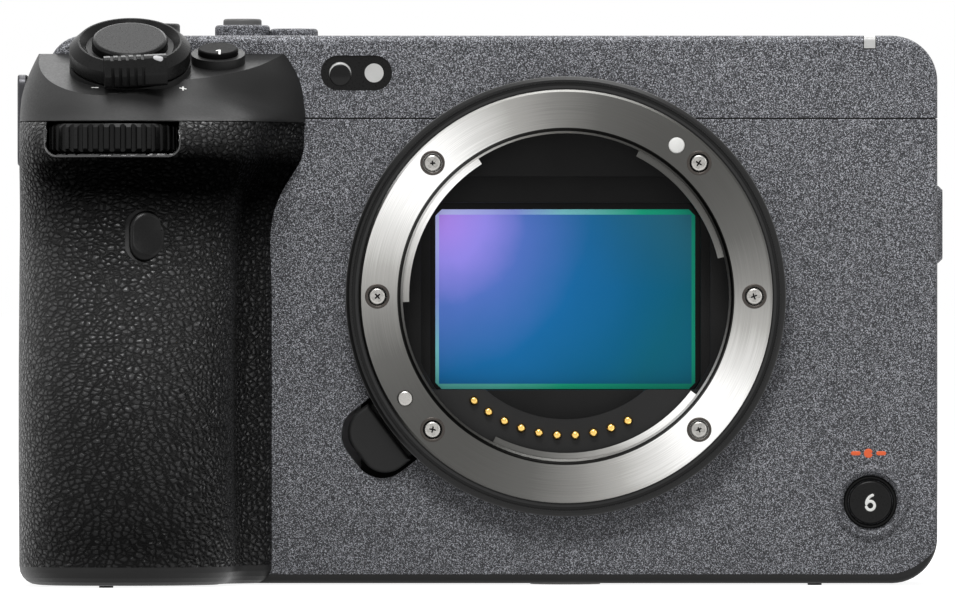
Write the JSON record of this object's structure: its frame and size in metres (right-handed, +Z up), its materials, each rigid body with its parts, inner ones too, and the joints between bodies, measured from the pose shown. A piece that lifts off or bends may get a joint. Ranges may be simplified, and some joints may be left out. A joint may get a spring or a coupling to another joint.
{
  "type": "compact cinema camera body",
  "caption": "Compact cinema camera body with a bayonet lens mount, a large image sensor, a leatherette hand grip and a side-hinged monitor.",
  "frame": {"origin": "centre of the tripod socket in the base plane, under the optical axis and in the sensor plane", "axes": "+X to the right seen from the front, -Y forward along the optical axis, +Z up"},
  "size_m": [0.1311, 0.0847, 0.0803],
  "materials": {
    "grey_paint": "speckled satin paint",
    "black_plastic": "fine texture",
    "grip_leather": "pebbled leatherette",
    "black_rubber": "matte",
    "gloss_black": "satin gloss",
    "matte_black": "flat black",
    "black_metal": "satin black",
    "dark_metal": "satin",
    "cast_alloy": "cast",
    "brushed_steel": "circular brushed",
    "screw_steel": "satin",
    "screw_black": "blackened",
    "gold": "polished gold plate",
    "sensor_cell": "iridescent",
    "filter_glass": "coated",
    "circuit_green": "solder mask",
    "battery_grey": "smooth",
    "lamp_white": "frosted",
    "grey_button": "satin",
    "screen_glass": "polished"
  },
  "bodies": {
    "camera_body": {"chassis": "cast_alloy", "front_cover": "grey_paint", "top_cover": "grey_paint", "rear_cover": "black_plastic", "base_plate": "black_plastic", "port_panel": "grey_paint", "grip_shell": "black_plastic", "grip_rubber": "grip_leather", "grip_top_cover": "black_plastic", "grip_lug_plate": "dark_metal", "mount_ring": "brushed_steel", "mount_bezel": "black_metal", "mount_screws": "screw_steel", "contact_block": "black_plastic", "throat_baffle": "matte_black", "stabiliser_base": "cast_alloy", "shutter_frame": "matte_black", "main_board": "circuit_green", "fan_housing": "cast_alloy", "card_slot_unit": "screw_steel", "battery_box": "black_plastic", "battery_pack": "battery_grey", "accessory_shoe": "dark_metal", "thread_inserts": "screw_steel", "lamp_window": "gloss_black", "lamp_lenses": "lamp_white", "case_screws": "screw_black"},
    "zoom_lever": {"zoom_lever": "gloss_black"},
    "shutter_button": {"shutter_button": "gloss_black"},
    "deck_button": {"deck_button": "gloss_black"},
    "front_dial": {"front_dial": "gloss_black"},
    "top_record_button": {"top_record_button": "grey_button"},
    "front_record_button": {"front_record_button": "gloss_black"},
    "lens_release": {"lens_release_button": "black_plastic", "lens_lock_pin": "screw_steel"},
    "contact_pins": {"contact_pins": "gold"},
    "stabiliser_balls": {"stabiliser_balls": "screw_steel"},
    "sensor": {"sensor_carriage": "black_metal", "image_sensor": "sensor_cell", "sensor_glass": "filter_glass"},
    "shutter_blade_lead": {"shutter_blade_lead": "matte_black"},
    "shutter_blade_mid": {"shutter_blade_mid": "matte_black"},
    "fan_rotor": {"fan_rotor": "black_plastic"},
    "battery_door": {"battery_door": "black_plastic"},
    "battery_door_latch": {"battery_door_latch": "black_plastic"},
    "card_door": {"card_door": "black_plastic"},
    "monitor": {"monitor_arm": "black_metal", "monitor_housing": "black_plastic", "monitor_screen": "screen_glass"},
    "rear_dial": {"rear_dial": "gloss_black"},
    "control_wheel": {"control_wheel": "black_plastic"},
    "wheel_button": {"wheel_button": "black_plastic"},
    "joystick_yoke": {"joystick_yoke": "screw_steel"},
    "joystick_cap": {"joystick_cap": "black_rubber"},
    "menu_button": {"menu_button": "black_plastic"},
    "play_button": {"play_button": "black_plastic"},
    "fn_button": {"fn_button": "black_plastic"},
    "power_switch": {"power_switch": "black_plastic"},
    "jack_cover_upper": {"jack_cover_upper": "black_plastic"},
    "jack_cover_lower": {"jack_cover_lower": "black_plastic"}
  },
  "joints": [
    {"name": "zoom_lever_turn", "type": "hinge", "parent": "camera_body", "child": "zoom_lever", "pos_m": [-0.06145, -0.0224, 0.0739], "axis": [0, -0.4462, 0.8949], "range_deg": [-14, 14], "stiffness_Nm_per_rad": 0.02},
    {"name": "shutter_button_press", "type": "slide", "parent": "camera_body", "child": "shutter_button", "axis": [0, 0.4462, -0.8949], "range_m": [0, 0.0012], "stiffness_N_per_m": 400},
    {"name": "deck_button_press", "type": "slide", "parent": "camera_body", "child": "deck_button", "axis": [0, 0.3173, -0.9483], "range_m": [0, 0.0006], "stiffness_N_per_m": 500},
    {"name": "front_dial_turn", "type": "hinge", "parent": "camera_body", "child": "front_dial", "pos_m": [-0.06365, -0.0304, 0.0611], "axis": [0, 0, 1], "continuous": true},
    {"name": "top_record_press", "type": "slide", "parent": "camera_body", "child": "top_record_button", "axis": [0, 0, -1], "range_m": [0, 0.0008], "stiffness_N_per_m": 500},
    {"name": "front_record_press", "type": "slide", "parent": "camera_body", "child": "front_record_button", "axis": [0, 1, 0], "range_m": [0, 0.0008], "stiffness_N_per_m": 500},
    {"name": "lens_release_press", "type": "slide", "parent": "camera_body", "child": "lens_release", "axis": [0, 1, 0], "range_m": [0, 0.002], "stiffness_N_per_m": 800},
    {"name": "contact_pin_press", "type": "slide", "parent": "camera_body", "child": "contact_pins", "axis": [0, 1, 0], "range_m": [0, 0.0006], "stiffness_N_per_m": 600},
    {"name": "stabiliser_shift_x", "type": "slide", "parent": "camera_body", "child": "stabiliser_balls", "axis": [1, 0, 0], "range_m": [-0.001, 0.001], "stiffness_N_per_m": 3000},
    {"name": "stabiliser_shift_z", "type": "slide", "parent": "stabiliser_balls", "child": "sensor", "axis": [0, 0, 1], "range_m": [-0.001, 0.001], "stiffness_N_per_m": 3000},
    {"name": "shutter_lead_travel", "type": "slide", "parent": "camera_body", "child": "shutter_blade_lead", "axis": [0, 0, 1], "range_m": [0, 0.0263]},
    {"name": "shutter_mid_travel", "type": "slide", "parent": "camera_body", "child": "shutter_blade_mid", "axis": [0, 0, 1], "range_m": [0, 0.01315]},
    {"name": "fan_spin", "type": "hinge", "parent": "camera_body", "child": "fan_rotor", "pos_m": [-0.012, 0.0116, 0.042], "axis": [0, 1, 0], "continuous": true},
    {"name": "battery_door_swing", "type": "hinge", "parent": "camera_body", "child": "battery_door", "pos_m": [-0.04975, -0.006, 0.00155], "axis": [0, -1, 0], "range_deg": [0, 85]},
    {"name": "battery_latch_slide", "type": "slide", "parent": "battery_door", "child": "battery_door_latch", "axis": [0, 1, 0], "range_m": [0, 0.003]},
    {"name": "card_door_swing", "type": "hinge", "parent": "camera_body", "child": "card_door", "pos_m": [-0.0765, 0.0152, 0.0235], "axis": [0, 0, 1], "range_deg": [0, 95]},
    {"name": "monitor_swing", "type": "hinge", "parent": "camera_body", "child": "monitor", "pos_m": [0.0495, 0.0296, 0.035], "axis": [0, 0, -1], "range_deg": [0, 176]},
    {"name": "rear_dial_turn", "type": "hinge", "parent": "camera_body", "child": "rear_dial", "pos_m": [-0.058, 0.0191, 0.0692], "axis": [0, 0, 1], "continuous": true},
    {"name": "control_wheel_turn", "type": "hinge", "parent": "camera_body", "child": "control_wheel", "pos_m": [-0.0475, 0.0255, 0.0315], "axis": [0, 1, 0], "continuous": true},
    {"name": "wheel_button_press", "type": "slide", "parent": "camera_body", "child": "wheel_button", "axis": [0, -1, 0], "range_m": [0, 0.0006], "stiffness_N_per_m": 500},
    {"name": "joystick_pitch", "type": "hinge", "parent": "camera_body", "child": "joystick_yoke", "pos_m": [-0.0475, 0.0247, 0.0555], "axis": [1, 0, 0], "range_deg": [-8, 8], "stiffness_Nm_per_rad": 0.02},
    {"name": "joystick_yaw", "type": "hinge", "parent": "joystick_yoke", "child": "joystick_cap", "pos_m": [-0.0475, 0.0247, 0.0555], "axis": [0, 0, 1], "range_deg": [-8, 8], "stiffness_Nm_per_rad": 0.02},
    {"name": "menu_button_press", "type": "slide", "parent": "camera_body", "child": "menu_button", "axis": [0, -1, 0], "range_m": [0, 0.0005], "stiffness_N_per_m": 500},
    {"name": "play_button_press", "type": "slide", "parent": "camera_body", "child": "play_button", "axis": [0, -1, 0], "range_m": [0, 0.0005], "stiffness_N_per_m": 500},
    {"name": "fn_button_press", "type": "slide", "parent": "camera_body", "child": "fn_button", "axis": [0, -1, 0], "range_m": [0, 0.0005], "stiffness_N_per_m": 500},
    {"name": "power_switch_turn", "type": "hinge", "parent": "camera_body", "child": "power_switch", "pos_m": [-0.0605, 0.007, 0.0778], "axis": [0, 0, 1], "range_deg": [0, 30]},
    {"name": "upper_jack_cover_swing", "type": "hinge", "parent": "camera_body", "child": "jack_cover_upper", "pos_m": [0.05215, 0.00565, 0.063], "axis": [0, 0, -1], "range_deg": [0, 100]},
    {"name": "lower_jack_cover_swing", "type": "hinge", "parent": "camera_body", "child": "jack_cover_lower", "pos_m": [0.05215, 0.00565, 0.038], "axis": [0, 0, -1], "range_deg": [0, 100]}
  ],
  "couplings": [
    {"joint": "shutter_mid_travel", "follows": "shutter_lead_travel", "ratio": 0.5}
  ]
}
